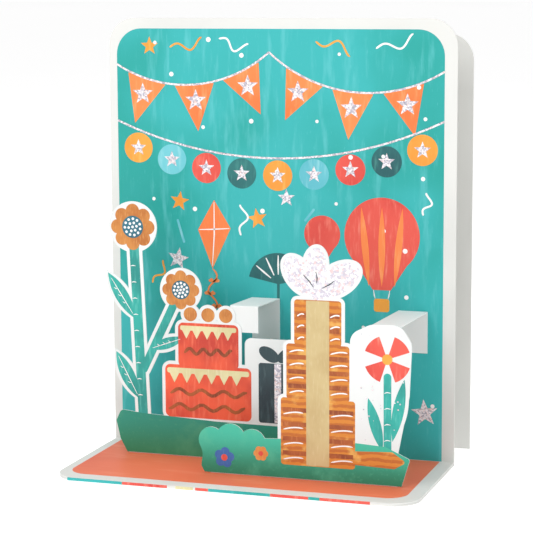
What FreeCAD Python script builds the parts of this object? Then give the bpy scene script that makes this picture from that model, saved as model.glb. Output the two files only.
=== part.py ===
import FreeCAD, Part
import math
import os

V = FreeCAD.Vector

# A stand-up pop-up card. One folded sheet makes the upright picture panel, the
# two-ply base in front of it and, round a side fold, the leaf behind it. Two cut-out
# layers stand on the base, each held parallel to the panel by a folded strap.
# +X runs to the right along the panel, -Y is the side the base lies on, +Z is up.
# Outlines are drawn in X and Z, with x from the panel's left edge and z from the
# top of the base.

# Boards and films
card = 0.7
layer_card = 0.5
strap_card = 0.4
ink = 0.06
fold_air = 0.1
fold_radius = 0.6

# Folded sheet
panel_width = 165.0
panel_height = 199.4
base_depth = 75.2
leaf_height = 193.5
leaf_gap = 32.8
corner_radius = 12.5
base_top = 2 * card + fold_air

# Printed fields on the panel and the base
border_left = 3.8
border_right = 5.7
border_top = 4.9
base_border_left = 4.1
base_border_right = 6.5
base_border_front = 7.5
field_radius = 12.0
base_field_radius = 9.0

# Cut-out layers, by the distance of their front face from the panel
rear_distance = 25.0
front_distance = 49.5
tab_depth = 9.0
halo = 1.5

# Straps: places on the panel, and the skew of each towards its layer
strap_width = 13.3
strap_tab = 18.9
left_strap_x = 69.4
left_strap_z = 71.5
right_strap_x = 139.1
right_strap_z = 68.7
strap_skew = -2.4
strap_front_tab = 12.0

# Garlands
string_width = 0.9
pennant_width = 19.0
pennant_height = 21.5
pennant_gap = 4.6
tag_radius = 7.0
tag_gap = 2.6

origin_x = panel_width / 2
origin_y = (base_depth - leaf_gap - 2 * card) / 2


def save(name, shape):
    """Write one node, moved so that the origin is under the middle of the card."""
    placed = shape.copy()
    placed.translate(V(-origin_x, origin_y, 0))
    placed.exportStep("parts/%s.step" % name)


def joined(shapes):
    """Fuse shapes that touch and clean the seams between them."""
    first = shapes[0]
    if len(shapes) > 1:
        first = first.multiFuse(shapes[1:])
    return first.removeSplitter()


def polygon_area(points):
    """Signed area of a polygon, positive when it runs anticlockwise in X and Z."""
    pairs = zip(points, points[1:] + points[:1])
    return sum(a[0] * b[1] - b[0] * a[1] for a, b in pairs) / 2


def grown(points, grow):
    """Points of an anticlockwise polygon with each side moved out by grow."""
    out = []
    count = len(points)
    for i, (x, z) in enumerate(points):
        px, pz = points[i - 1]
        nx, nz = points[(i + 1) % count]
        ax, az = x - px, z - pz
        bx, bz = nx - x, nz - z
        la, lb = math.hypot(ax, az), math.hypot(bx, bz)
        n1 = (az / la, -ax / la)
        n2 = (bz / lb, -bx / lb)
        share = 1 + n1[0] * n2[0] + n1[1] * n2[1]
        out.append((x + grow * (n1[0] + n2[0]) / share, z + grow * (n1[1] + n2[1]) / share))
    return out


def rounded_face(points, radius):
    """Face in the X-Z plane of a polygon whose corners are tangent arcs."""
    radii = radius if isinstance(radius, list) else [radius] * len(points)
    starts, ends, mids = [], [], []
    count = len(points)
    for i, (x, z) in enumerate(points):
        here = V(x, 0, z)
        back = V(points[i - 1][0], 0, points[i - 1][1]).sub(here)
        ahead = V(points[(i + 1) % count][0], 0, points[(i + 1) % count][1]).sub(here)
        half = back.getAngle(ahead) / 2
        reach = radii[i] / math.tan(half)
        back.normalize()
        ahead.normalize()
        bisector = back.add(ahead)
        bisector.normalize()
        starts.append(here.add(back.multiply(reach)))
        ends.append(here.add(ahead.multiply(reach)))
        mids.append(here.add(bisector.multiply(radii[i] / math.sin(half) - radii[i])))
    edges = []
    for i in range(count):
        if radii[i] > 0:
            edges.append(Part.Arc(starts[i], mids[i], ends[i]).toShape())
        following = starts[(i + 1) % count]
        if ends[i].distanceToPoint(following) > 1e-5:
            edges.append(Part.LineSegment(ends[i], following).toShape())
    return Part.Face(Part.Wire(edges))


# Each stamp below returns a function that draws its face, grown by a margin.

def disc(x, z, radius):
    """Round stamp."""
    def face(grow):
        return Part.Face(Part.Wire(Part.makeCircle(radius + grow, V(x, 0, z), V(0, 1, 0))))
    return face


def shape(points, radius=0.0):
    """Stamp of a polygon with rounded corners."""
    ordered = points if polygon_area(points) > 0 else points[::-1]

    def face(grow):
        if isinstance(radius, list):
            return rounded_face(grown(ordered, grow), [r + grow for r in radius])
        return rounded_face(grown(ordered, grow), radius + grow)
    return face


def block(x0, z0, x1, z1, radius=0.0):
    """Upright rectangular stamp."""
    return shape([(x0, z0), (x1, z0), (x1, z1), (x0, z1)], radius)


def bar(x0, z0, x1, z1, width):
    """Stamp of a straight stroke with round ends."""
    length = math.hypot(x1 - x0, z1 - z0)
    ux, uz = (x1 - x0) / length, (z1 - z0) / length
    h = width / 2

    def corner(x, z, along, across):
        return (x + ux * along - uz * across, z + uz * along + ux * across)
    points = [corner(x0, z0, -h, -h), corner(x1, z1, h, -h), corner(x1, z1, h, h), corner(x0, z0, -h, h)]
    return shape(points, h)


def oval(x, z, half_width, half_height, turn=0.0):
    """Stamp of an ellipse, wider than it is high, turned by an angle in degrees."""
    def face(grow):
        outline = Part.Ellipse(V(0, 0, 0), half_width + grow, half_height + grow).toShape()
        flat = Part.Face(Part.Wire(outline))
        flat.rotate(V(0, 0, 0), V(1, 0, 0), 90)
        flat.rotate(V(0, 0, 0), V(0, 1, 0), -turn)
        flat.translate(V(x, 0, z))
        return flat
    return face


def blade(x0, z0, x1, z1, width):
    """Stamp of a pointed leaf between two tips."""
    length = math.hypot(x1 - x0, z1 - z0)
    ux, uz = (x1 - x0) / length, (z1 - z0) / length

    def face(grow):
        tip0 = V(x0 - ux * grow, 0, z0 - uz * grow)
        tip1 = V(x1 + ux * grow, 0, z1 + uz * grow)
        middle = tip0.add(tip1).multiply(0.5)
        side = V(-uz, 0, ux).multiply(width / 2 + grow)
        edges = [Part.Arc(tip0, middle.add(side), tip1).toShape(),
                 Part.Arc(tip1, middle.sub(side), tip0).toShape()]
        return Part.Face(Part.Wire(edges))
    return face


def fan(x, z, radius, start, end):
    """Stamp of a slice of a disc between two angles in degrees."""
    def point(r, angle):
        return V(x + r * math.cos(math.radians(angle)), 0, z + r * math.sin(math.radians(angle)))

    def face(grow):
        r = radius + grow
        arc = Part.Arc(point(r, start), point(r, (start + end) / 2), point(r, end)).toShape()
        edges = [Part.LineSegment(V(x, 0, z), point(r, start)).toShape(), arc,
                 Part.LineSegment(point(r, end), V(x, 0, z)).toShape()]
        return Part.Face(Part.Wire(edges))
    return face


def star(x, z, radius, turn=90.0):
    """Five-pointed star stamp."""
    points = []
    for i in range(10):
        r = radius if i % 2 == 0 else radius * 0.42
        angle = math.radians(turn + 36 * i)
        points.append((x + r * math.cos(angle), z + r * math.sin(angle)))
    return shape(points)


def slab(stamps, front, depth, grow=0.0):
    """Solid of all stamps, from the plane y = front to front + depth."""
    solids = []
    for stamp in stamps:
        solid = stamp(grow).extrude(V(0, depth, 0))
        solid.translate(V(0, front, base_top))
        solids.append(solid)
    return joined(solids)


def printed(stamps, distance, level=0, less=()):
    """Film of print on a face that stands this far in front of the panel."""
    film = slab(stamps, -distance - ink * (level + 1), ink)
    return film.cut(list(less)) if less else film


def bent_sheet(path, thickness, radius, width):
    """Sheet that follows a path in Y and Z with tangent bends, extruded along +X."""
    half = thickness / 2
    solids = []
    begin = V(0, *path[0])
    for i in range(1, len(path)):
        corner = V(0, *path[i])
        run = corner.sub(begin)
        run.normalize()
        if i == len(path) - 1:
            solids.append(sheet_run(begin, corner, half, width))
            break
        onward = V(0, *path[i + 1]).sub(corner)
        onward.normalize()
        turn = run.getAngle(onward)
        reach = radius * math.tan(turn / 2)
        stop = corner.sub(run * reach)
        restart = corner.add(onward * reach)
        if begin.distanceToPoint(stop) > 1e-5:
            solids.append(sheet_run(begin, stop, half, width))
        inward = onward.sub(run)
        inward.normalize()
        centre = corner.add(inward * (radius / math.cos(turn / 2)))
        solids.append(sheet_bend(centre, stop, restart, radius, half, width))
        begin = restart
    return joined(solids)


def sheet_run(start, end, half, width):
    """Straight stretch of a bent sheet."""
    along = end.sub(start)
    side = V(0, -along.z, along.y)
    side.normalize()
    side.multiply(half)
    corners = [start.add(side), end.add(side), end.sub(side), start.sub(side), start.add(side)]
    return Part.Face(Part.makePolygon(corners)).extrude(V(width, 0, 0))


def sheet_bend(centre, start, end, radius, half, width):
    """Ring sector that joins two stretches of a bent sheet."""
    a, b = start.sub(centre), end.sub(centre)
    middle = a.add(b)
    middle.normalize()
    outer, inner = radius + half, radius - half
    a.normalize()
    b.normalize()
    rim = Part.Arc(centre + a * outer, centre + middle * outer, centre + b * outer).toShape()
    bore = Part.Arc(centre + b * inner, centre + middle * inner, centre + a * inner).toShape()
    edges = [rim, Part.LineSegment(centre + b * outer, centre + b * inner).toShape(), bore,
             Part.LineSegment(centre + a * inner, centre + a * outer).toShape()]
    return Part.Face(Part.Wire(edges)).extrude(V(width, 0, 0))


def upright_outline(width, height, front, depth):
    """Standing rectangle with rounded top corners, from its foot to its height."""
    radii = [0.0, 0.0, corner_radius, corner_radius]
    face = rounded_face([(0, 0), (width, 0), (width, height), (0, height)], radii)
    solid = face.extrude(V(0, depth, 0))
    solid.translate(V(0, front, 0))
    return solid


def base_plan(x0, x1, front, back, radius, z, depth):
    """Flat slab over the base with rounded front corners."""
    def point(x, y):
        return V(x, y, z)
    a = radius * (1 - math.sqrt(0.5))
    edges = [Part.LineSegment(point(x0 + radius, front), point(x1 - radius, front)).toShape(),
             Part.Arc(point(x1 - radius, front), point(x1 - a, front + a), point(x1, front + radius)).toShape(),
             Part.LineSegment(point(x1, front + radius), point(x1, back)).toShape(),
             Part.LineSegment(point(x1, back), point(x0, back)).toShape(),
             Part.LineSegment(point(x0, back), point(x0, front + radius)).toShape(),
             Part.Arc(point(x0, front + radius), point(x0 + a, front + a), point(x0 + radius, front)).toShape()]
    return Part.Face(Part.Wire(edges)).extrude(V(0, 0, depth))


def folded_card():
    """The main sheet: panel, two-ply base, side fold and the leaf behind."""
    upper = base_top - card / 2
    front = -base_depth + card / 2
    panel_line = card / 2
    top = base_top + panel_height
    turn_radius = (card + fold_air) / 2
    panel_and_base = bent_sheet([(panel_line, top), (panel_line, upper), (front + turn_radius, upper)],
                                card, fold_radius, panel_width)
    wrap = bent_sheet([(front + 2 * turn_radius, upper), (front, upper), (front, card / 2), (card, card / 2)],
                      card, turn_radius, panel_width)
    sheet = joined([panel_and_base, wrap])
    panel_zone = upright_outline(panel_width, top, -fold_radius, card + 2 * fold_radius)
    base_zone = base_plan(0, panel_width, -base_depth, card + fold_radius, corner_radius, 0, 2 * base_top)
    sheet = joined([sheet.common(panel_zone), sheet.common(base_zone)])
    return joined([sheet, rear_leaf()])


def rear_leaf():
    """Leaf behind the panel and the side fold that carries it."""
    leaf_front = card + leaf_gap
    leaf = upright_outline(panel_width, leaf_height, leaf_front, card)
    side_height = leaf_height - corner_radius
    side = Part.makeBox(card, leaf_gap + 2 * card, side_height)
    for y in (0, leaf_front + card):
        edges = [e for e in side.Edges if e.BoundBox.XMax < 1e-6 and abs(e.BoundBox.YMin - y) < 1e-6
                 and e.BoundBox.ZLength > 1]
        side = side.makeFillet(card * 0.6, edges)
    rounding = Part.makeBox(card, card, side_height, V(0, leaf_front, 0)).cut(side)
    return joined([leaf.cut(rounding), side])


def strap(x, z, distance):
    """Folded strap: a tab on the panel, a flat run and a tab behind the layer."""
    half = strap_card / 2
    back = -half - ink
    front = -distance + layer_card + half
    level = z + base_top - half
    path = [(back, level - strap_tab), (back, level), (front, level), (front, level - strap_front_tab)]
    body = bent_sheet(path, strap_card, strap_card, strap_width)
    skew = FreeCAD.Matrix()
    skew.A12 = strap_skew / (front - back)
    body = body.transformGeometry(skew)
    body.translate(V(x, 0, 0))
    return body


def cut_out(stamps, plain, distance, tab_start, tab_end):
    """Cut-out layer: motifs with a white margin, and a glue tab folded back."""
    plate = slab(stamps, -distance, layer_card, halo)
    plate = joined([plate, slab(plain, -distance, layer_card)])
    keep = Part.makeBox(panel_width * 2, layer_card, panel_height)
    keep.translate(V(-panel_width / 2, -distance, base_top + ink + layer_card))
    plate = plate.common(keep)
    middle = -distance + layer_card / 2
    level = base_top + ink + layer_card / 2
    foot = bent_sheet([(middle, level + 2 * layer_card), (middle, level), (middle + tab_depth, level)],
                      layer_card, layer_card * 0.6, tab_end - tab_start)
    foot.translate(V(tab_start, 0, 0))
    return joined([plate, foot])


def hanging_arc(x0, z0, x1, z1, sag):
    """Circle through two pegs and the low point between them: centre and radius."""
    half = math.hypot(x1 - x0, z1 - z0) / 2
    radius = (half * half + sag * sag) / (2 * sag)
    tilt = math.atan2(z1 - z0, x1 - x0)
    mx, mz = (x0 + x1) / 2, (z0 + z1) / 2
    rise = radius - sag
    return mx - rise * math.sin(tilt), mz + rise * math.cos(tilt), radius


def arc_places(x0, z0, x1, z1, sag, pitch):
    """Points at one pitch along a hanging string, with the string's slope there."""
    cx, cz, radius = hanging_arc(x0, z0, x1, z1, sag)
    start = math.atan2(z0 - cz, x0 - cx)
    end = math.atan2(z1 - cz, x1 - cx)
    step = pitch / radius
    count = int((end - start) / step)
    first = (start + end) / 2 - step * (count - 1) / 2
    angles = [first + step * i for i in range(count)]
    return [(cx + radius * math.cos(a), cz + radius * math.sin(a), a + math.pi / 2) for a in angles]


def string(x0, z0, x1, z1, sag):
    """Stamp of a hanging string."""
    cx, cz, radius = hanging_arc(x0, z0, x1, z1, sag)
    start = math.atan2(z0 - cz, x0 - cx)
    end = math.atan2(z1 - cz, x1 - cx)

    def point(r, angle):
        return V(cx + r * math.cos(angle), 0, cz + r * math.sin(angle))

    def face(grow):
        outer = radius + string_width / 2 + grow
        inner = radius - string_width / 2 - grow
        middle = (start + end) / 2
        edges = [Part.Arc(point(outer, start), point(outer, middle), point(outer, end)).toShape(),
                 Part.LineSegment(point(outer, end), point(inner, end)).toShape(),
                 Part.Arc(point(inner, end), point(inner, middle), point(inner, start)).toShape(),
                 Part.LineSegment(point(inner, start), point(outer, start)).toShape()]
        return Part.Face(Part.Wire(edges))
    return face


def below(x, z, slope, drop, across=0.0):
    """Point that hangs from a string, across it and down from it."""
    return (x + across * math.cos(slope) + drop * math.sin(slope),
            z + across * math.sin(slope) - drop * math.cos(slope))


field_left = border_left
field_right = panel_width - border_right
field_top = panel_height - border_top

peg_left = (field_left, panel_height - 21.4)
peg_middle = (panel_width / 2 - 4.5, panel_height - 15.4)
peg_right = (field_right, panel_height - 23.4)
swag_left = (*peg_left, *peg_middle, 12.0)
swag_right = (*peg_middle, *peg_right, 13.5)
swag_low = (field_left, panel_height - 47.4, field_right, panel_height - 45.4, 17.0)


def pennant(x, z, slope):
    """Pointed flag that hangs from the upper string."""
    half = pennant_width / 2
    return shape([below(x, z, slope, 0, -half), below(x, z, slope, 0, half),
                  below(x, z, slope, pennant_height)], 0.0)


def panel_prints():
    """Everything printed on the upright panel, by colour."""
    radii = [0.0, 0.0, field_radius, field_radius]
    field = shape([(field_left, 0), (field_right, 0), (field_right, field_top), (field_left, field_top)], radii)
    save("panel_teal_field", printed([field], 0))
    pitch = pennant_width + pennant_gap
    flags = arc_places(*swag_left, pitch) + arc_places(*swag_right, pitch)
    kite = shape([(51, 116), (59, 103), (50, 84), (43, 102)])
    save("panel_orange", printed([pennant(*f) for f in flags] + [kite], 0, 1))
    discs = [below(*p, tag_radius + string_width) for p in arc_places(*swag_low, 2 * tag_radius + tag_gap)]
    colours = ["panel_mustard", "panel_light_blue", "panel_coral", "panel_dark_teal"]
    extra = {
        "panel_mustard": [star(34, 115, 4.8, 82), star(72, 108, 5.0, 100), star(20, panel_height - 12.9, 4.4),
                          block(127.4, 67.5, 134.6, 73.5, 1.2), star(110, 84, 4.6, 78)],
        "panel_light_blue": [bar(36, 96, 33, 106, 1.1), bar(95, 108, 99, 113, 1.1)],
        "panel_coral": fat_drop(131, 102, 17.5, 24.5) + fat_drop(103, 102, 8.5, 12.0),
        "panel_dark_teal": [fan(82, 78, 14.5, 12, 168), bar(82, 78, 82, 68, 1.3)]}
    for index, name in enumerate(colours):
        tags = [disc(*d, tag_radius) for d in discs[index::len(colours)]]
        save(name, printed(tags + extra[name], 0, 1))
    save("panel_balloon_gores", printed(balloon_gores_at(131, 100), 0, 2))
    glints = [star(*below(*f, pennant_height * 0.34), 5.2) for f in flags]
    strings = [string(*swag_left), string(*swag_right), string(*swag_low)]
    save("glitter_strings", printed(strings, 0, 2))
    save("glitter_spots", printed(glints + [star(*d, 4.0) for d in discs], 0, 2))
    save("glitter_stars", printed([star(33, 88, 5.4, 80), star(157 - border_right, 22, 6.4, 96),
                                   star(86, 118, 4.2)], 0, 1))


def fat_drop(x, z, radius, drop):
    """Balloon outline: a disc whose sides run on to a short mouth below."""
    mouth = radius * 0.24
    lean = math.atan2(drop, radius - mouth) - math.acos(radius / math.hypot(drop, radius - mouth)) * 0.5
    shoulder = (radius * math.cos(lean * 0.5), radius * math.sin(lean * 0.5))
    sides = [(x - shoulder[0], z - shoulder[1]), (x - mouth, z - drop), (x + mouth, z - drop),
             (x + shoulder[0], z - shoulder[1])]
    return [disc(x, z, radius), shape(sides)]


def balloon_gores_at(x, z):
    """Slim stripes down a balloon."""
    return [blade(x + dx, z - 21, x + dx * 1.6, z + 15, 3.2) for dx in (-6.0, 0.0, 6.0)]


rear_bank = shape([(16.5, 0), (13, 6.5), (11, 15), (13.5, 20.3), (24, 19.2), (60, 17.5), (112, 17), (112, 0)],
                  [1, 1, 1, 2.2, 3.5, 2, 2, 0][::-1])
cake_low = block(35.5, 18.5, 77, 43, 2.5)
cake_high = block(42, 42, 71, 62.5, 2.5)
cake_dots = [disc(x, 66.5, 3.2) for x in (48.0, 56.5, 65.0)]
slate_box = block(80.5, 18.5, 99, 46, 1.2)
slate_bow = [oval(85.5, 50, 5.2, 3.0, 150), oval(94, 50, 5.2, 3.0, 30)]
tall_head = (20.5, 105.5, 10.2)
low_head = (43.5, 77.5, 8.6)
stem_width = 4.6
tall_stem = bar(24.5, 16, tall_head[0] + 0.5, tall_head[1] - 8.5, stem_width)
low_stem = bar(25, 40, low_head[0] - 4, low_head[1] - 8, stem_width - 0.8)
rear_leaves = [blade(21.5, 63, 8, 84, 6.4), blade(22.5, 26, 11.5, 47.5, 6.8), blade(28, 49.5, 45, 55.5, 5.0)]


def rosette(x, z, radius, lobes=8):
    """Scalloped round head: a disc with a ring of small lobes."""
    ring = radius * 0.72
    lobe = radius * 0.32
    turns = [2 * math.pi * i / lobes for i in range(lobes)]
    rim = [disc(x + ring * math.cos(t), z + ring * math.sin(t), lobe) for t in turns]
    return [disc(x, z, radius * 0.84)] + rim


def rear_layer_parts():
    """The layer nearer the panel, with its prints."""
    heads = [disc(*tall_head), disc(*low_head)]
    motifs = [rear_bank, cake_low, cake_high, slate_box, tall_stem, low_stem]
    motifs += cake_dots + slate_bow + rear_leaves + heads
    filler = block(74, 17, 99, 57, 3)
    save("rear_layer", cut_out(motifs[1:], [rear_bank, filler], rear_distance, 17.0, 108.0))
    d = rear_distance
    coral = printed([cake_low, cake_high], d)
    slate = printed([slate_box] + slate_bow, d, 0, [coral])
    ochre = printed(rosette(*tall_head) + rosette(*low_head) + cake_dots, d, 0, [coral])
    above_fold = Part.makeBox(panel_width, 1, base_top + layer_card, V(0, -d - 0.5, 0))
    stems = [tall_stem, low_stem] + rear_leaves
    green = printed([rear_bank], d, 0, [coral, slate, ochre, above_fold])
    save("rear_bank_green", green)
    save("rear_cake_coral", coral)
    save("rear_box_slate", slate)
    save("rear_heads_ochre", ochre)
    save("rear_stems_teal", printed(stems, d, 0, [green, ochre, coral, above_fold]))
    centres = [disc(x, z, r * 0.5) for x, z, r in (tall_head, low_head)]
    save("rear_centres_dark", printed(centres, d, 1))
    icing = [block(36.5, 39, 76, 41.5, 1), block(43, 59, 70, 61.2, 0.9)]
    icing += [shape([(x - 2.6, 39.6), (x + 2.6, 39.6), (x, 34.6)], 0.0) for x in range(40, 76, 6)]
    icing += [shape([(x - 2.2, 59.4), (x + 2.2, 59.4), (x, 55.2)], 0.0) for x in range(46, 70, 5)]
    ribbon = [block(88, 18.8, 91.2, 45.8)]
    save("rear_icing_cream", printed(icing, d, 1))
    save("rear_ribbon_white", printed(ribbon, d, 1))


front_bank = shape([(63.5, 0), (61.6, 3.2), (62.4, 9), (60.6, 14.5), (66, 19), (92, 17.5), (120, 19),
                    (146, 17.5), (156.8, 12.6), (153, 0)], [0, 2, 4, 3, 4, 6, 3, 2, 1, 1][::-1])
hedge = [disc(66.5, 15, 6.0), disc(75.5, 16.2, 6.8), disc(85.5, 15, 6.2)]
gift_centre = 115.6
gift_foot = 6.5
gift_heights = (29.5, 24.0, 19.5)
gift_widths = (33.6, 28.4, 21.2)
gift_overlap = 0.5
gift_radius = 1.4
band_height = 2.0
band_pitch = 6.4
band_inset = 0.8
ribbon_half = 5.2
gift_top = gift_foot + sum(gift_heights)
bow_knot = gift_top + 4.3
bow = [oval(gift_centre - 8.2, bow_knot + 6.7, 9.4, 5.4, 128),
       oval(gift_centre + 8.8, bow_knot + 5.4, 10.8, 6.0, 32), oval(gift_centre - 1.0, bow_knot + 11.4, 7.6, 4.6, 84), disc(gift_centre, bow_knot, 3.8)]
pinwheel_centre = (146.6, 55.8)
pinwheel_reach = 10.4
wheel_stem = bar(146.9, 13.5, 146.7, 48, 3.4)
wheel_leaves = [blade(144.6, 15.5, 138.2, 38.5, 5.0), blade(149.0, 20, 154.2, 47.5, 5.0)]
white_plate = shape([(131, 12), (130, 66), (139, 70.5), (152.5, 71), (157.4, 63), (156.4, 40), (151, 12)],
                    [2, 6, 7, 7, 5, 5, 2][::-1])


def gift_boxes():
    """Stacked boxes, each narrower than the one below: left, foot, right and top."""
    boxes = []
    foot = gift_foot
    for width, height in zip(gift_widths, gift_heights):
        boxes.append((gift_centre - width / 2, foot, gift_centre + width / 2, foot + height + gift_overlap))
        foot += height
    return boxes


def gift_bands():
    """Level bands across each box, at one pitch and clear of its edges."""
    bands = []
    for x0, z0, x1, z1 in gift_boxes():
        count = int((z1 - z0 - 2 * band_height) / band_pitch)
        spare = (z1 - z0 - (count - 1) * band_pitch - band_height) / 2
        feet = [z0 + spare + i * band_pitch for i in range(count)]
        bands += [block(x0 + band_inset, foot, x1 - band_inset, foot + band_height) for foot in feet]
    return bands


def pinwheel():
    """Four curved vanes round the centre of the wheel."""
    x, z = pinwheel_centre
    return [fan(x, z, pinwheel_reach, start, start + 52) for start in range(20, 380, 90)]


def front_layer_parts():
    """The layer nearer the front edge, with its prints."""
    d = front_distance
    gifts = [block(*box, gift_radius) for box in gift_boxes()]
    motifs = gifts + bow + [wheel_stem] + wheel_leaves
    save("front_layer", cut_out(motifs, [front_bank, white_plate] + hedge, d, 66.0, 151.0))
    above_fold = Part.makeBox(panel_width, 1, base_top + layer_card, V(0, -d - 0.5, 0))
    boxes = printed(gifts, d)
    streamer = shape([(131.5, 8.6), (150, 8.0), (155.2, 11.2), (149, 15.4), (131.5, 14.6)], 1.0)
    tail = printed([streamer], d, 0, [boxes])
    save("front_gifts_ochre", joined([boxes, tail]))
    glitter = printed(bow, d, 0, [boxes])
    save("front_bow_glitter", glitter)
    wheel = printed(pinwheel(), d)
    save("front_wheel_coral", wheel)
    green = printed([front_bank] + hedge, d, 0, [boxes, tail, above_fold])
    save("front_bank_green", green)
    save("front_stems_teal", printed([wheel_stem] + wheel_leaves, d, 0, [green, tail, wheel]))
    ribbon_left, ribbon_right = gift_centre - ribbon_half, gift_centre + ribbon_half
    ribbon = printed([block(ribbon_left, gift_foot + 0.3, ribbon_right, gift_top + 0.2, 0.4)], d, 1)
    save("front_ribbon_cream", ribbon)
    save("front_bands_brown", printed(gift_bands(), d, 1, [ribbon]))
    save("front_wheel_hub", printed([disc(*pinwheel_centre, 2.3)], d, 1))
    save("front_flower_blue", printed(petals(72.5, 7.6, 2.1, 2.6, 5, 10), d, 1))
    save("front_flower_orange", printed(petals(89.5, 10.6, 1.5, 1.9, 6, 0), d, 1))


def petals(x, z, radius, ring, count, turn):
    """Ring of round petals about a centre disc."""
    angles = [math.radians(turn + 360 * i / count) for i in range(count)]
    return [disc(x, z, radius)] + [disc(x + ring * math.cos(a), z + ring * math.sin(a), radius) for a in angles]


def base_prints():
    """The coloured field on the base and the colours on its folded front edge."""
    field = base_plan(base_border_left, panel_width - base_border_right, -base_depth + base_border_front,
                      -ink * 4, base_field_radius, base_top, ink)
    save("base_coral_field", field)
    edges = {"edge_teal": [(8, 34), (74, 102), (119, 124)],
             "edge_coral": [(34, 55), (68, 74), (102, 119), (124, 146)], "edge_cream": [(59, 67)]}
    for name, spans in edges.items():
        save(name, joined([edge_band(x0, x1) for x0, x1 in spans]))


def edge_band(x0, x1):
    """Print on the outer curve of the front fold, between two places along it."""
    radius = base_top / 2
    centre = V(x0, -base_depth + radius, radius)
    ring = Part.makeCylinder(radius + ink, x1 - x0, centre, V(1, 0, 0))
    ring = ring.cut(Part.makeCylinder(radius, x1 - x0, centre, V(1, 0, 0)))
    keep = Part.makeBox(x1 - x0, 2 * radius, base_top * 0.94 - ink * 2, V(x0, -base_depth - radius, ink * 2))
    return ring.common(keep)


def main():
    os.makedirs("parts", exist_ok=True)
    save("folded_card", folded_card())
    save("left_strap", strap(left_strap_x, left_strap_z, rear_distance))
    save("right_strap", strap(right_strap_x, right_strap_z, front_distance))
    panel_prints()
    rear_layer_parts()
    front_layer_parts()
    base_prints()


main()
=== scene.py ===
"""A stand-up pop-up card on a pale floor: printed board, cut-out layers and glitter."""

import logging
import math
import random
from dataclasses import dataclass, field
from enum import Enum
from typing import Any, Callable, Sequence

import bmesh
import bpy
from mathutils import Matrix, Vector

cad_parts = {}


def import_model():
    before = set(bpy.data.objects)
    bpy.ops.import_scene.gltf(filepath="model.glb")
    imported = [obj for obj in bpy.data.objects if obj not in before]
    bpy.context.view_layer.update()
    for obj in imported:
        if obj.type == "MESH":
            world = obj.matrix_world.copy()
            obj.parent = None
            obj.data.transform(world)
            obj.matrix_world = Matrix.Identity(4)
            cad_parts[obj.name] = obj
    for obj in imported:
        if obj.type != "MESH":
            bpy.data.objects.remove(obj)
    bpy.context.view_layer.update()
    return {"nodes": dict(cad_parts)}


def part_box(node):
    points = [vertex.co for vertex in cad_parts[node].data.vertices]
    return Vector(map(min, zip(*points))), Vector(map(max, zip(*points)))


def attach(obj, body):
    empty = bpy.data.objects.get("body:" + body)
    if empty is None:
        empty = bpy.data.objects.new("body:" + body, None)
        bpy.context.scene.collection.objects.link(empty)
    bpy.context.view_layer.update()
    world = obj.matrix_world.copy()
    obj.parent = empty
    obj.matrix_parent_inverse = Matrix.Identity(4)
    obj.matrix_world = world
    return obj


LOG = logging.getLogger("pop_up_card")
MM = 0.001
BODY = "root"

Colour = tuple[float, float, float]
Point = tuple[float, float]
Row = tuple[float, ...]

PHOTO_SIDE = 533
LENS_PIXELS = 1941.4
SENSOR_MM = 36.0
CAMERA_AZIMUTH = 18.17
CAMERA_PITCH = 8.45
CAMERA_ROLL = -0.284
CLIP_START = 0.05
CAMERA_FROM_PANEL_FOOT = Vector((269.1, -838.86, 218.67))

MIX_SHARE, MIX_FIRST, MIX_SECOND, MIX_RESULT = 0, 6, 7, 2
EVEN = (1.0, 1.0, 1.0)
MARK_DEPTH = 0.05
OVERPRINT_DEPTH = 0.16


def srgb(red: int, green: int, blue: int) -> Colour:
    """Turn a screen colour into linear values.

    Args:
        red: red from 0 to 255.
        green: green from 0 to 255.
        blue: blue from 0 to 255.

    Returns:
        The linear red, green and blue.
    """
    def channel(value: int) -> float:
        """Linear value of one channel."""
        share = value / 255
        return share / 12.92 if share <= 0.04045 else ((share + 0.055) / 1.055) ** 2.4
    return channel(red), channel(green), channel(blue)


class Sock:
    """A shader socket that adds Math nodes when it is used in an expression."""

    def __init__(self, shader: "Shader", socket: Any) -> None:
        """Wrap one output socket of a shader's node tree."""
        self.shader = shader
        self.socket = socket

    def _math(self, operation: str, *values: Any) -> "Sock":
        """Add a Math node of this operation on these values."""
        return self.shader.node("ShaderNodeMath", {"operation": operation}, list(values))

    def __add__(self, other: Any) -> "Sock":
        """Sum."""
        return self._math("ADD", self, other)

    def __radd__(self, other: Any) -> "Sock":
        """Sum with a number on the left."""
        return self._math("ADD", other, self)

    def __mul__(self, other: Any) -> "Sock":
        """Product."""
        return self._math("MULTIPLY", self, other)

    def __rmul__(self, other: Any) -> "Sock":
        """Product with a number on the left."""
        return self._math("MULTIPLY", other, self)


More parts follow.
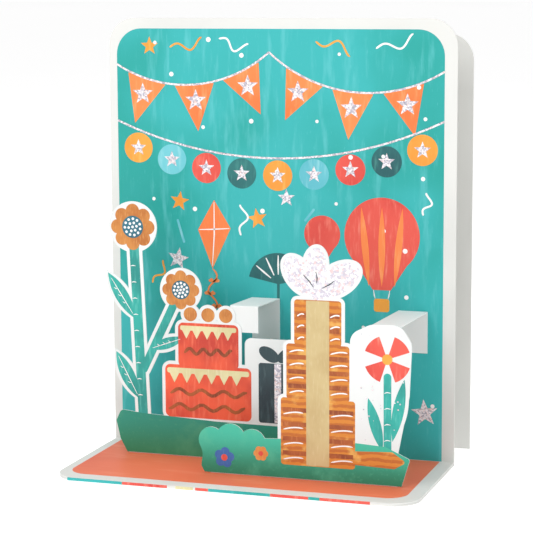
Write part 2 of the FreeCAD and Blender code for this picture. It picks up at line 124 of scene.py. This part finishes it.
class Shader:
    """One material under construction."""

    def __init__(self, name: str) -> None:
        """Start a node material with this name."""
        self.material = bpy.data.materials.new(name)
        self.material.use_nodes = True
        self.tree = self.material.node_tree
        self.surface = self.tree.nodes["Principled BSDF"]
        self.place = self.node("ShaderNodeTexCoord", {}, [], "Object")

    def node(self, kind: str, settings: dict[str, Any], values: Any, output: Any = 0) -> Sock:
        """Add a node.

        Args:
            kind: the node's type.
            settings: attributes to set first.
            values: numbers, colours or sockets, as a list or by input name.
            output: the output to return, by name or index.

        Returns:
            The wrapped output socket.
        """
        made = self.tree.nodes.new(kind)
        for key, value in settings.items():
            setattr(made, key, value)
        pairs = values.items() if isinstance(values, dict) else enumerate(values)
        for key, value in pairs:
            self._feed(made.inputs[key], value)
        return Sock(self, made.outputs[output])

    def _feed(self, socket: Any, value: Any) -> None:
        """Link or set one input."""
        if isinstance(value, Sock):
            self.tree.links.new(value.socket, socket)
        elif isinstance(value, tuple) and len(value) == 3 and socket.type == "RGBA":
            socket.default_value = (*value, 1.0)
        else:
            socket.default_value = value

    def noise(self, scale: float, detail: float = 3.0, stretch: Row = EVEN, shift: float = 0.0) -> Sock:
        """Add noise in object space.

        Args:
            scale: cells per metre, roughly.
            detail: layers of finer noise.
            stretch: scale along each axis.
            shift: offset along every axis, to tell one noise from another.

        Returns:
            The noise value.
        """
        placing = {"Vector": self.place, "Scale": Vector(stretch), "Location": Vector((shift, shift, shift))}
        moved = self.node("ShaderNodeMapping", {}, placing)
        return self.node("ShaderNodeTexNoise", {}, {"Vector": moved, "Scale": scale, "Detail": detail}, "Fac")

    def mix(self, share: Any, first: Any, second: Any) -> Sock:
        """Mix two colours.

        Args:
            share: share of the second colour, or its socket.
            first: colour or socket at nought.
            second: colour or socket at one.

        Returns:
            The mixed colour.
        """
        made = self.tree.nodes.new("ShaderNodeMix")
        made.data_type = "RGBA"
        self._feed(made.inputs[MIX_SHARE], share)
        self._feed(made.inputs[MIX_FIRST], first)
        self._feed(made.inputs[MIX_SECOND], second)
        return Sock(self, made.outputs[MIX_RESULT])

    def ramp(self, value: Any, low: float, high: float) -> Sock:
        """Smooth step of a value.

        Args:
            value: the value's socket.
            low: the value that gives nought.
            high: the value that gives one.

        Returns:
            The stepped value.
        """
        limits = {"Value": value, "From Min": low, "From Max": high}
        return self.node("ShaderNodeMapRange", {"interpolation_type": "SMOOTHSTEP"}, limits)

    def finish(self, colour: Any, roughness: Any, bump: Any = None, strength: float = 0.2,
               height: float = 0.00005, **plain: Any) -> Any:
        """Connect the surface and return the material.

        Args:
            colour: base colour or its socket.
            roughness: roughness or its socket.
            bump: height socket, if any.
            strength: strength of the bump.
            height: bump distance in metres.
            plain: other inputs of the surface, the same all over, by name with underscores.

        Returns:
            The finished material.
        """
        self._feed(self.surface.inputs["Base Color"], colour)
        self._feed(self.surface.inputs["Roughness"], roughness)
        for key, value in plain.items():
            self.surface.inputs[key.replace("_", " ").title()].default_value = value
        if bump is not None:
            relief = {"Height": bump, "Strength": strength, "Distance": height}
            made = self.node("ShaderNodeBump", {}, relief, "Normal")
            self._feed(self.surface.inputs["Normal"], made)
        return self.material


@dataclass(frozen=True)
class BoardFinish:
    """Smooth white board with a little tooth."""

    name: str
    tint: Colour
    shade: Colour

    def material(self) -> Any:
        """Make the board's material."""
        sh = Shader(self.name)
        cloud = sh.noise(22.0, 2.0)
        fibre = sh.noise(2600.0, 3.0)
        colour = sh.mix(sh.ramp(cloud, 0.35, 0.7), self.tint, self.shade)
        return sh.finish(colour, 0.55 + 0.12 * fibre, fibre, 0.15, 0.00003)


@dataclass(frozen=True)
class PaintFinish:
    """Printed paint: a base colour with dry brush strokes and mottling."""

    name: str
    base: Colour
    dark: Colour
    light: Colour
    strokes: float = 0.6
    mottle: float = 60.0
    roughness: float = 0.5
    stretch: Row = (1.0, 1.0, 0.16)

    def material(self) -> Any:
        """Make the print's material."""
        sh = Shader(self.name)
        wash = sh.noise(self.mottle * 0.35, 3.0, EVEN, 3.1)
        stroke = sh.noise(self.mottle * 6.0, 4.0, self.stretch, 1.7)
        grain = sh.noise(1900.0, 2.0, self.stretch, 0.4)
        colour = sh.mix(sh.ramp(wash, 0.38, 0.68), self.base, self.dark)
        brushed = sh.ramp(stroke, 0.5, 0.78) * self.strokes
        colour = sh.mix(brushed, colour, self.light)
        colour = sh.mix(sh.ramp(grain, 0.62, 0.8) * 0.28, colour, self.light)
        return sh.finish(colour, self.roughness + 0.1 * grain, grain, 0.12, 0.00002)


@dataclass(frozen=True)
class StripedFinish:
    """Paint in soft bands of two colours along the height, like dyed paper."""

    name: str
    first: Colour
    second: Colour
    pale: Colour
    per_metre: float = 110.0

    def material(self) -> Any:
        """Make the banded material."""
        sh = Shader(self.name)
        wave = sh.node("ShaderNodeTexWave", {"wave_type": "BANDS", "bands_direction": "Z"},
                       {"Vector": sh.place, "Scale": self.per_metre, "Distortion": 2.6, "Detail": 2.0,
                        "Detail Scale": 1.4}, "Fac")
        patch = sh.noise(160.0, 4.0)
        fleck = sh.noise(900.0, 3.0, EVEN, 5.0)
        colour = sh.mix(sh.ramp(wave, 0.35, 0.75), self.first, self.second)
        colour = sh.mix(sh.ramp(patch, 0.52, 0.7) * 0.7, colour, self.pale)
        colour = sh.mix(sh.ramp(fleck, 0.56, 0.72) * 0.35, colour, self.first)
        return sh.finish(colour, 0.5 + 0.12 * fleck, fleck, 0.12, 0.00003)


@dataclass(frozen=True)
class GradedFinish:
    """Paint that darkens from one height to another, with leafy mottling."""

    name: str
    low: Colour
    high: Colour
    light: Colour
    z_low: float
    z_high: float

    def material(self) -> Any:
        """Make the graded material."""
        sh = Shader(self.name)
        height = sh.node("ShaderNodeSeparateXYZ", {}, [sh.place], "Z")
        rise = sh.ramp(height, self.z_low, self.z_high)
        patch = sh.noise(70.0, 4.0)
        fine = sh.noise(700.0, 3.0)
        colour = sh.mix(rise, self.low, self.high)
        colour = sh.mix(sh.ramp(patch, 0.5, 0.72) * 0.45, colour, self.light)
        colour = sh.mix(sh.ramp(fine, 0.55, 0.75) * 0.22, colour, self.light)
        return sh.finish(colour, 0.5 + 0.1 * fine, fine, 0.12, 0.00003)


@dataclass(frozen=True)
class GlitterFinish:
    """Silver or white glitter: small flakes that differ in tone and gloss."""

    name: str
    pale: Colour
    deep: Colour
    warm: Colour
    flakes: float = 1500.0

    def material(self) -> Any:
        """Make the glitter's material."""
        sh = Shader(self.name)
        cell = sh.node("ShaderNodeTexVoronoi", {}, {"Vector": sh.place, "Scale": self.flakes}, "Color")
        parts = sh.node("ShaderNodeSeparateColor", {}, [cell], "Red")
        hue = sh.node("ShaderNodeSeparateColor", {}, [cell], "Green")
        colour = sh.mix(sh.ramp(parts, 0.1, 0.8), self.deep, self.pale)
        colour = sh.mix(sh.ramp(hue, 0.72, 0.95) * 0.6, colour, self.warm)
        return sh.finish(colour, 0.25 + 0.3 * hue, parts, 0.7, 0.0001, metallic=0.25)


WHITE_BOARD = BoardFinish("white_board", srgb(226, 226, 222), srgb(219, 219, 215))
LAYER_BOARD = BoardFinish("layer_board", srgb(233, 236, 235), srgb(224, 227, 226))
TEAL = PaintFinish("teal_field", srgb(48, 178, 178), srgb(20, 160, 152), srgb(104, 202, 206), 0.5, 48.0)
ORANGE = PaintFinish("orange_flags", srgb(250, 138, 72), srgb(244, 118, 56), srgb(255, 178, 120), 0.6, 80.0)
MUSTARD = PaintFinish("mustard", srgb(243, 165, 62), srgb(236, 148, 48), srgb(252, 200, 110), 0.5, 80.0)
PALE_BLUE = PaintFinish("pale_blue", srgb(112, 200, 210), srgb(88, 182, 196), srgb(170, 224, 228), 0.5, 80.0)
CORAL_RED = PaintFinish("coral_red", srgb(232, 88, 74), srgb(214, 66, 56), srgb(246, 150, 130), 0.7, 90.0)
DEEP_TEAL = PaintFinish("deep_teal", srgb(36, 118, 116), srgb(24, 88, 92), srgb(80, 158, 150), 0.5, 90.0)
CAKE = PaintFinish("cake_coral", srgb(240, 92, 56), srgb(196, 58, 42), srgb(250, 140, 104), 0.5, 120.0)
SLATE = PaintFinish("slate", srgb(48, 72, 78), srgb(34, 52, 60), srgb(96, 122, 126), 0.4, 120.0)
OCHRE_HEADS = PaintFinish("ochre_heads", srgb(206, 134, 62), srgb(184, 108, 44),
                          srgb(228, 172, 104), 0.6, 300.0)
STEM_TEAL = PaintFinish("stem_teal", srgb(44, 172, 160), srgb(32, 140, 132), srgb(110, 206, 194), 0.6, 120.0)
CENTRES = PaintFinish("head_centres", srgb(42, 110, 128), srgb(30, 82, 100), srgb(80, 150, 160), 0.4, 120.0)
CREAM = PaintFinish("cream", srgb(206, 184, 132), srgb(196, 170, 118), srgb(222, 206, 164), 0.4, 200.0)
ICING = PaintFinish("icing", srgb(226, 218, 168), srgb(210, 200, 148), srgb(240, 236, 206), 0.4, 160.0)
BLUE_PETALS = PaintFinish("blue_petals", srgb(58, 104, 172), srgb(44, 82, 148),
                          srgb(104, 144, 196), 0.5, 200.0)
ORANGE_PETALS = PaintFinish("orange_petals", srgb(226, 150, 76), srgb(214, 128, 56),
                            srgb(242, 184, 120), 0.5, 200.0)
BASE_CORAL = PaintFinish("base_coral", srgb(243, 122, 84), srgb(230, 104, 70),
                         srgb(252, 160, 128), 0.35, 40.0,
                         0.4, (0.2, 1.0, 1.0))
BROWN = PaintFinish("brown_bands", srgb(172, 88, 36), srgb(132, 58, 26), srgb(206, 132, 70), 0.6, 260.0)
OCHRE = StripedFinish("gift_ochre", srgb(214, 132, 44), srgb(190, 104, 36), srgb(236, 186, 96))
REAR_GREEN = GradedFinish("rear_green", srgb(44, 134, 92), srgb(34, 142, 120), srgb(84, 166, 124), 0.0, 0.02)
FRONT_GREEN = GradedFinish("front_green", srgb(38, 136, 104), srgb(62, 186, 158),
                           srgb(92, 192, 156), 0.002, 0.022)
SILVER = GlitterFinish("silver_glitter", srgb(246, 240, 244), srgb(176, 172, 186), srgb(250, 214, 200))
WHITE_GLITTER = GlitterFinish("white_glitter", srgb(252, 250, 252), srgb(206, 200, 212), srgb(248, 204, 196),
                              1100.0)
WHITE_INK = BoardFinish("white_ink", srgb(250, 248, 246), srgb(242, 238, 238))

NODE_FINISH: dict[str, Any] = {
    "folded_card": WHITE_BOARD, "rear_layer": LAYER_BOARD, "front_layer": LAYER_BOARD,
    "left_strap": LAYER_BOARD, "right_strap": LAYER_BOARD, "panel_teal_field": TEAL,
    "panel_orange": ORANGE, "panel_mustard": MUSTARD, "panel_light_blue": PALE_BLUE,
    "panel_coral": CORAL_RED, "panel_dark_teal": DEEP_TEAL, "panel_balloon_gores": ORANGE,
    "glitter_strings": SILVER, "glitter_spots": SILVER, "glitter_stars": SILVER,
    "rear_bank_green": REAR_GREEN, "rear_cake_coral": CAKE, "rear_box_slate": SLATE,
    "rear_heads_ochre": OCHRE_HEADS, "rear_stems_teal": STEM_TEAL, "rear_centres_dark": CENTRES,
    "rear_icing_cream": ICING, "rear_ribbon_white": SILVER, "front_gifts_ochre": OCHRE,
    "front_bow_glitter": WHITE_GLITTER, "front_wheel_coral": CORAL_RED, "front_bank_green": FRONT_GREEN,
    "front_stems_teal": STEM_TEAL, "front_ribbon_cream": CREAM, "front_bands_brown": BROWN,
    "front_wheel_hub": MUSTARD, "front_flower_blue": BLUE_PETALS, "front_flower_orange": ORANGE_PETALS,
    "base_coral_field": BASE_CORAL, "edge_teal": TEAL, "edge_coral": CORAL_RED, "edge_cream": ICING,
}


class Face(Enum):
    """The printed faces that small details lie on, named by a node that shows there."""

    PANEL = "panel_teal_field"
    REAR = "rear_centres_dark"
    FRONT = "front_ribbon_cream"


@dataclass
class CardFrame:
    """Places of the card's faces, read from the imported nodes.

    Attributes:
        left: x of the card's left edge.
        base: z of the picture's lower edge.
        plane: y of the front of each printed face.
    """

    left: float = field(init=False)
    base: float = field(init=False)
    plane: dict[Face, float] = field(init=False)

    def __post_init__(self) -> None:
        """Read the boxes of the nodes that set the frame."""
        low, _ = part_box("folded_card")
        self.left = low[0]
        self.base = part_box("panel_teal_field")[0][2]
        self.plane = {face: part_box(face.value)[0][1] for face in Face}

    def point(self, face: Face, x: float, z: float, lift: float = 0.02) -> Vector:
        """Find a point on a face.

        Args:
            face: the printed face.
            x: millimetres from the card's left edge.
            z: millimetres above the base.
            lift: millimetres in front of the face.

        Returns:
            The point in metres, in the card's frame.
        """
        return Vector((self.left + x * MM, self.plane[face] - lift * MM, self.base + z * MM))


@dataclass
class Details:
    """Small printed marks made as thin raised shapes on one face."""

    card: CardFrame
    face: Face
    thickness: float = MARK_DEPTH
    end_share: float = 0.45
    streamer_steps: int = 26

    def piece(self, name: str, finish: Any, draw: Callable[[Any], None]) -> Any:
        """Make one piece from flat faces that draw() adds, and thicken it.

        Args:
            name: the piece's name.
            finish: the finish it takes.
            draw: adds flat faces to a bmesh, in the card's frame.

        Returns:
            The finished object.
        """
        bm = bmesh.new()
        draw(bm)
        bmesh.ops.recalc_face_normals(bm, faces=bm.faces)
        grown = bmesh.ops.extrude_face_region(bm, geom=bm.faces[:])
        moved = [v for v in grown["geom"] if isinstance(v, bmesh.types.BMVert)]
        bmesh.ops.translate(bm, verts=moved, vec=(0, -self.thickness * MM, 0))
        bmesh.ops.recalc_face_normals(bm, faces=bm.faces)
        mesh = bpy.data.meshes.new(name)
        bm.to_mesh(mesh)
        bm.free()
        thing = bpy.data.objects.new(name, mesh)
        bpy.context.scene.collection.objects.link(thing)
        mesh.materials.append(FINISHES.get(finish))
        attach(thing, BODY)
        LOG.info("made %s: %d faces", name, len(mesh.polygons))
        return thing

    def dot(self, bm: Any, x: float, z: float, radius: float, sides: int = 12) -> None:
        """Add a round mark.

        Args:
            bm: the bmesh to add to.
            x: millimetres from the card's left edge.
            z: millimetres above the base.
            radius: radius in millimetres.
            sides: number of straight sides.
        """
        place = Matrix.Translation(self.card.point(self.face, x, z)) @ Matrix.Rotation(math.pi / 2, 4, "X")
        bmesh.ops.create_circle(bm, cap_ends=True, segments=sides, radius=radius * MM, matrix=place)

    def stroke(self, bm: Any, points: Sequence[Point], width: float) -> None:
        """Add a line of even width through points, with tapered ends.

        Args:
            bm: the bmesh to add to.
            points: x and z of the points, in millimetres.
            width: width in millimetres.
        """
        count = len(points)
        pairs = []
        for i, (x, z) in enumerate(points):
            ahead, back = points[min(i + 1, count - 1)], points[max(i - 1, 0)]
            along = Vector((ahead[0] - back[0], ahead[1] - back[1])).normalized()
            share = self.end_share if i in (0, count - 1) else 1.0
            reach = width * share / 2
            side = Vector((-along.y, along.x)) * reach
            pairs.append([bm.verts.new(self.card.point(self.face, x + side.x, z + side.y)),
                          bm.verts.new(self.card.point(self.face, x - side.x, z - side.y))])
        for first, second in zip(pairs, pairs[1:]):
            bm.faces.new([first[0], first[1], second[1], second[0]])

    def streamer(self, bm: Any, x: float, z: float, length: float, curl: float, turn: float,
                 width: float = 0.9) -> None:
        """Add a curly streamer: a line that wanders in growing waves.

        Args:
            bm: the bmesh to add to.
            x: its start, in millimetres from the card's left edge.
            z: its start, in millimetres above the base.
            length: its length in millimetres.
            curl: how far the waves reach to each side, in millimetres.
            turn: its direction in radians.
            width: its width in millimetres.
        """
        points = []
        for i in range(self.streamer_steps + 1):
            share = i / self.streamer_steps
            along = share * length
            across = curl * math.sin(share * 2.5 * math.pi) * (0.4 + share)
            points.append((x + along * math.cos(turn) - across * math.sin(turn),
                           z + along * math.sin(turn) + across * math.cos(turn)))
        self.stroke(bm, points, width)


class FinishShelf:
    """Keeps each finish's material, made once."""

    def __init__(self) -> None:
        """Start with an empty shelf."""
        self.made: dict[str, Any] = {}

    def get(self, finish: Any) -> Any:
        """Material of a finish."""
        if finish.name not in self.made:
            self.made[finish.name] = finish.material()
        return self.made[finish.name]


FINISHES = FinishShelf()


@dataclass
class PanelDetails:
    """Confetti, streamers and fine lines on the upright panel, in millimetres."""

    card: CardFrame
    seed: int = 11
    confetti: int = 46
    spacing: float = 13.0
    low_x: float = 8.0
    high_x: float = 155.0
    low_z: float = 12.0
    high_z: float = 190.0
    mustard_curls: tuple[Row, ...] = ((30, 186, 16, 2.2, 0.1), (100, 189, 17, -2.4, -0.2),
                                      (20, 76, 12, 1.8, 0.9))
    white_curls: tuple[Row, ...] = ((54, 190, 14, 2.4, -0.4), (128, 186, 18, 2.2, 0.2),
                                    (64, 100, 14, 2.0, 1.4), (150, 112, 10, 1.8, 1.2))
    parasol: Point = (82, 78)
    rib_angles: Row = (38, 64, 90, 116, 142)
    rib_reach: Point = (4.5, 13.4)
    rib_width: float = 0.9
    kite_bars: tuple[tuple[Point, ...], ...] = (((51, 115), (51, 100), (50, 85.4)),
                                                ((43.6, 102), (51, 102.4), (58.4, 103)))
    bar_width: float = 0.6
    basket_ropes: tuple[tuple[Point, ...], ...] = (((128, 73.6), (127.6, 75), (127.2, 77.5)),
                                                   ((134, 73.6), (134.4, 75), (134.8, 77.5)))
    rope_width: float = 0.5
    tail_top: Point = (50, 84)
    tail_points: int = 16
    tail_wave: float = 2.2
    tail_fall: float = 1.5
    tail_bows: tuple[int, ...] = (4, 8, 12)

    def build(self) -> None:
        """Make the panel's pieces."""
        marks = Details(self.card, Face.PANEL)
        marks.piece("panel_confetti", WHITE_INK, lambda bm: self.scatter(marks, bm))
        marks.piece("panel_streamers_mustard", MUSTARD,
                    lambda bm: self.curls(marks, bm, self.mustard_curls))
        marks.piece("panel_streamers_white", WHITE_INK,
                    lambda bm: self.curls(marks, bm, self.white_curls))
        over = Details(self.card, Face.PANEL, OVERPRINT_DEPTH)
        over.piece("panel_fine_lines", WHITE_INK, lambda bm: self.lines(over, bm))
        over.piece("panel_kite_tail", ORANGE, lambda bm: self.tail(over, bm))

    def scatter(self, marks: Details, bm: Any) -> None:
        """Scatter round confetti, each piece clear of those before it.

        Args:
            marks: draws on the panel.
            bm: the bmesh to add to.
        """
        draw = random.Random(self.seed)
        placed: list[Point] = []
        while len(placed) < self.confetti:
            x = draw.uniform(self.low_x, self.high_x)
            z = draw.uniform(self.low_z, self.high_z)
            if all(math.hypot(x - a, z - b) > self.spacing for a, b in placed):
                placed.append((x, z))
                marks.dot(bm, x, z, draw.uniform(0.75, 1.15))

    def curls(self, marks: Details, bm: Any, rows: tuple[Row, ...]) -> None:
        """Draw the curly streamers of one colour."""
        for row in rows:
            marks.streamer(bm, *row)

    def lines(self, marks: Details, bm: Any) -> None:
        """Draw white lines on the parasol, the kite and the balloon's basket.

        Args:
            marks: draws on the panel.
            bm: the bmesh to add to.
        """
        x, z = self.parasol
        for angle in self.rib_angles:
            a = math.radians(angle)
            foot, tip = [(x + r * math.cos(a), z + r * math.sin(a)) for r in self.rib_reach]
            middle = ((foot[0] + tip[0]) / 2, (foot[1] + tip[1]) / 2)
            marks.stroke(bm, [foot, middle, tip], self.rib_width)
        for bar in self.kite_bars:
            marks.stroke(bm, bar, self.bar_width)
        for rope in self.basket_ropes:
            marks.stroke(bm, rope, self.rope_width)

    def tail(self, marks: Details, bm: Any) -> None:
        """Draw the kite's wavy tail with its small bows.

        Args:
            marks: draws on the panel.
            bm: the bmesh to add to.
        """
        top_x, top_z = self.tail_top
        points = [(top_x + self.tail_wave * math.sin(i * 0.7), top_z - i * self.tail_fall)
                  for i in range(self.tail_points)]
        marks.stroke(bm, points, 0.8)
        for i in self.tail_bows:
            x, z = points[i]
            for side in (-1, 1):
                marks.stroke(bm, [(x, z), (x + side * 1.4, z + 0.6), (x + side * 2.6, z + 0.2)], 2.0)


@dataclass
class RearDetails:
    """Painted strokes and dots on the rear layer, in millimetres."""

    card: CardFrame
    heads: tuple[Row, ...] = ((20.5, 105.5, 10.2), (43.5, 77.5, 8.6))
    seed_radius: float = 0.62
    seed_rings: tuple[tuple[float, int], ...] = ((0.19, 6), (0.37, 11))
    stem_foot: Point = (24.3, 20)
    stem_top: Point = (21.0, 95)
    ticks: int = 9
    tick_width: float = 0.45
    veins: tuple[Row, ...] = ((20.0, 65.5, 9.6, 81.6), (21.6, 28, 12.6, 45.4), (29.5, 50.0, 43, 54.8))
    vein_width: float = 0.4
    twig_shares: Row = (0.3, 0.5, 0.7)
    twig_width: float = 0.35
    waves: tuple[Row, ...] = ((38, 75, 30.5), (37, 74, 23.5), (45, 68, 49.5))
    wave_steps: int = 24
    wave_height: float = 1.3
    wave_width: float = 1.5

    def build(self) -> None:
        """Make the rear layer's pieces."""
        marks = Details(self.card, Face.REAR)
        marks.piece("rear_head_dots", WHITE_INK, lambda bm: self.dots(marks, bm))
        marks.piece("rear_stem_strokes", WHITE_INK, lambda bm: self.strokes(marks, bm))
        marks.piece("rear_cake_swirls", BROWN, lambda bm: self.swirls(marks, bm))

    def dots(self, marks: Details, bm: Any) -> None:
        """Draw seeds as white dots on the round heads.

        Args:
            marks: draws on the rear layer.
            bm: the bmesh to add to.
        """
        for x, z, radius in self.heads:
            marks.dot(bm, x, z, self.seed_radius)
            for ring, count in self.seed_rings:
                reach = ring * radius
                for i in range(count):
                    a = 2 * math.pi * i / count + ring
                    marks.dot(bm, x + reach * math.cos(a), z + reach * math.sin(a), self.seed_radius)

    def strokes(self, marks: Details, bm: Any) -> None:
        """Draw short white ticks along a stem, and veins on the leaves.

        Args:
            marks: draws on the rear layer.
            bm: the bmesh to add to.
        """
        (foot_x, foot_z), (top_x, top_z) = self.stem_foot, self.stem_top
        for i in range(self.ticks):
            share = (i + 1) / (self.ticks + 1)
            x, z = foot_x + (top_x - foot_x) * share, foot_z + (top_z - foot_z) * share
            marks.stroke(bm, [(x - 2.0, z), (x - 0.9, z + 0.3), (x + 0.3, z + 0.1)], self.tick_width)
        for x0, z0, x1, z1 in self.veins:
            marks.stroke(bm, [(x0, z0), ((x0 + x1) / 2, (z0 + z1) / 2), (x1, z1)], self.vein_width)
            for share in self.twig_shares:
                x, z = x0 + (x1 - x0) * share, z0 + (z1 - z0) * share
                marks.stroke(bm, [(x, z), (x - 0.9, z - 0.1), (x - 1.8, z + 0.5)], self.twig_width)

    def swirls(self, marks: Details, bm: Any) -> None:
        """Draw darker brushed waves across the cake.

        Args:
            marks: draws on the rear layer.
            bm: the bmesh to add to.
        """
        for x0, x1, z in self.waves:
            points = [(x0 + (x1 - x0) * i / self.wave_steps, z + self.wave_height * math.sin(i * 0.9 + z))
                      for i in range(self.wave_steps + 1)]
            marks.stroke(bm, points, self.wave_width)


@dataclass
class FrontDetails:
    """Painted strokes and dots on the front layer, in millimetres."""

    card: CardFrame
    brushed: tuple[tuple[float, float, Row], ...] = (
        (100, 109, (9.4, 16.0, 22.8, 29.6)), (121.6, 131.4, (9.4, 16.0, 22.8, 29.6)),
        (102.8, 109.4, (39.2, 45.2, 51.4, 57.2)), (121.4, 129, (39.2, 45.2, 51.4, 57.2)),
        (106.4, 109.6, (63, 68.2, 73.2)), (121.2, 125.6, (63, 68.2, 73.2)))
    brush_steps: int = 8
    brush_width: float = 0.6
    stem_ticks: Row = (20, 27, 34, 41)
    tick_width: float = 0.45
    hearts: tuple[Row, ...] = ((72.5, 7.6, 1.5), (89.5, 10.6, 1.1))
    heart_sides: int = 20
    folds: tuple[Row, ...] = ((113.8, 85.5, 109, 91), (117.6, 85.3, 123, 88.6), (115.2, 87.4, 114.8, 92.4))
    fold_width: float = 0.5
    seed: int = 5
    specks: int = 70
    speck_x: Point = (134.5, 154)
    speck_z: Point = (20, 69)
    speck_radius: Point = (0.16, 0.42)
    speck_sides: int = 6
    slope_foot: float = 134
    slope: float = 1.4
    pinwheel: Point = (146.6, 55.8)
    pinwheel_clear: float = 11
    stem_x: float = 146.8
    stem_clear: float = 2.6

    def build(self) -> None:
        """Make the front layer's pieces."""
        marks = Details(self.card, Face.FRONT)
        marks.piece("front_white_strokes", WHITE_INK, lambda bm: self.strokes(marks, bm))
        marks.piece("front_flower_eyes", CORAL_RED, lambda bm: self.eyes(marks, bm))
        marks.piece("front_bow_creases", SLATE, lambda bm: self.creases(marks, bm))
        marks.piece("front_speckles", SILVER, lambda bm: self.speckles(marks, bm))

    def strokes(self, marks: Details, bm: Any) -> None:
        """Draw white brushed lines beside the ribbon on each gift, and ticks on the stem.

        Args:
            marks: draws on the front layer.
            bm: the bmesh to add to.
        """
        for x0, x1, heights in self.brushed:
            for z in heights:
                bend = [(x0 + (x1 - x0) * i / self.brush_steps,
                         z - 0.5 + 1.1 * math.sin(math.pi * 0.72 * i / self.brush_steps))
                        for i in range(self.brush_steps + 1)]
                marks.stroke(bm, bend, self.brush_width)
        for z in self.stem_ticks:
            marks.stroke(bm, [(145.4, z), (146.6, z + 0.5), (148.2, z + 0.3)], self.tick_width)

    def eyes(self, marks: Details, bm: Any) -> None:
        """Draw the round hearts of the small flowers."""
        for x, z, radius in self.hearts:
            marks.dot(bm, x, z, radius, self.heart_sides)

    def creases(self, marks: Details, bm: Any) -> None:
        """Draw dark fold lines in the bow."""
        for x0, z0, x1, z1 in self.folds:
            marks.stroke(bm, [(x0, z0), ((x0 + x1) / 2 + 0.4, (z0 + z1) / 2), (x1, z1)], self.fold_width)

    def speckles(self, marks: Details, bm: Any) -> None:
        """Scatter silver specks over the white part beside the gifts, clear of the pinwheel.

        Args:
            marks: draws on the front layer.
            bm: the bmesh to add to.
        """
        draw = random.Random(self.seed)
        wheel_x, wheel_z = self.pinwheel
        for _ in range(self.specks):
            x, z = draw.uniform(*self.speck_x), draw.uniform(*self.speck_z)
            off_wheel = math.hypot(x - wheel_x, z - wheel_z) > self.pinwheel_clear
            off_stem = abs(x - self.stem_x) > self.stem_clear
            if off_wheel and off_stem and (x - self.slope_foot) * self.slope < z:
                marks.dot(bm, x, z, draw.uniform(*self.speck_radius), self.speck_sides)


@dataclass(frozen=True)
class Lamp:
    """An area light: its place and size in metres, and its power in watts."""

    name: str
    place: Row
    size: float
    power: float


LAMPS = (
    Lamp("key", (-0.5, -1.6, 1.15), 1.0, 9.5),
    Lamp("fill", (1.1, -0.8, 0.7), 1.3, 3.2),
    Lamp("top", (-0.2, -0.1, 1.5), 1.2, 8.5),
)


@dataclass
class Studio:
    """Floor, lights and camera."""

    floor_half: float = 90.0
    floor_glow: float = 0.45
    surroundings: float = 0.56
    aim: Row = (0, 0, 0.1)

    def build(self) -> None:
        """Set up the stage."""
        self.floor()
        self.world()
        for lamp in LAMPS:
            self.light(lamp)
        self.camera()

    def floor(self) -> None:
        """Pale floor under the card."""
        bm = bmesh.new()
        bmesh.ops.create_grid(bm, x_segments=2, y_segments=2, size=self.floor_half)
        mesh = bpy.data.meshes.new("floor")
        bm.to_mesh(mesh)
        bm.free()
        floor = bpy.data.objects.new("floor", mesh)
        bpy.context.scene.collection.objects.link(floor)
        sh = Shader("pale_floor")
        tone = sh.mix(sh.noise(3.0, 2.0), srgb(250, 250, 250), srgb(247, 247, 247))
        mesh.materials.append(sh.finish(tone, 0.7, emission_color=(1.0, 1.0, 1.0, 1.0),
                                        emission_strength=self.floor_glow))

    def world(self) -> None:
        """Soft white surroundings."""
        world = bpy.data.worlds.new("soft_white")
        world.use_nodes = True
        back = world.node_tree.nodes["Background"]
        back.inputs["Color"].default_value = (1.0, 1.0, 1.0, 1.0)
        back.inputs["Strength"].default_value = self.surroundings
        bpy.context.scene.world = world
        bpy.context.scene.view_settings.view_transform = "Standard"

    def light(self, lamp: Lamp) -> None:
        """Add an area light that faces the card.

        Args:
            lamp: its name, place, size and power.
        """
        data = bpy.data.lights.new(lamp.name, "AREA")
        data.size = lamp.size
        data.energy = lamp.power
        shining = bpy.data.objects.new(lamp.name, data)
        shining.location = lamp.place
        shining.rotation_euler = (Vector(self.aim) - Vector(lamp.place)).to_track_quat("-Z", "Y").to_euler()
        bpy.context.scene.collection.objects.link(shining)

    def camera(self) -> None:
        """Camera at the photograph's place, from the foot of the panel's middle."""
        data = bpy.data.cameras.new("camera")
        data.sensor_width = SENSOR_MM
        data.lens = SENSOR_MM * LENS_PIXELS / PHOTO_SIDE
        data.clip_start = CLIP_START
        view = bpy.data.objects.new("camera", data)
        panel_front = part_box("panel_teal_field")[1][1]
        view.location = CAMERA_FROM_PANEL_FOOT * MM + Vector((0, panel_front, 0))
        turn = Matrix.Rotation(math.radians(CAMERA_AZIMUTH), 3, "Z")
        tilt = Matrix.Rotation(math.radians(90 - CAMERA_PITCH), 3, "X")
        roll = Matrix.Rotation(math.radians(CAMERA_ROLL), 3, "Z")
        view.rotation_euler = (turn @ tilt @ roll).to_euler()
        bpy.context.scene.collection.objects.link(view)
        bpy.context.scene.camera = view


def dress_nodes(nodes: dict[str, Any]) -> None:
    """Give every CAD node its finish.

    Args:
        nodes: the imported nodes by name.
    """
    for name, thing in nodes.items():
        material = FINISHES.get(NODE_FINISH[name])
        if thing.material_slots:
            for slot in thing.material_slots:
                slot.material = material
        else:
            thing.data.materials.append(material)
        LOG.info("dressed %s", name)


def main() -> None:
    """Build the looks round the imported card."""
    logging.basicConfig(level=logging.INFO, format="%(message)s")
    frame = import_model()
    card = CardFrame()
    dress_nodes(frame["nodes"])
    for part in (PanelDetails(card), RearDetails(card), FrontDetails(card), Studio()):
        part.build()


if __name__ == "__main__":
    main()
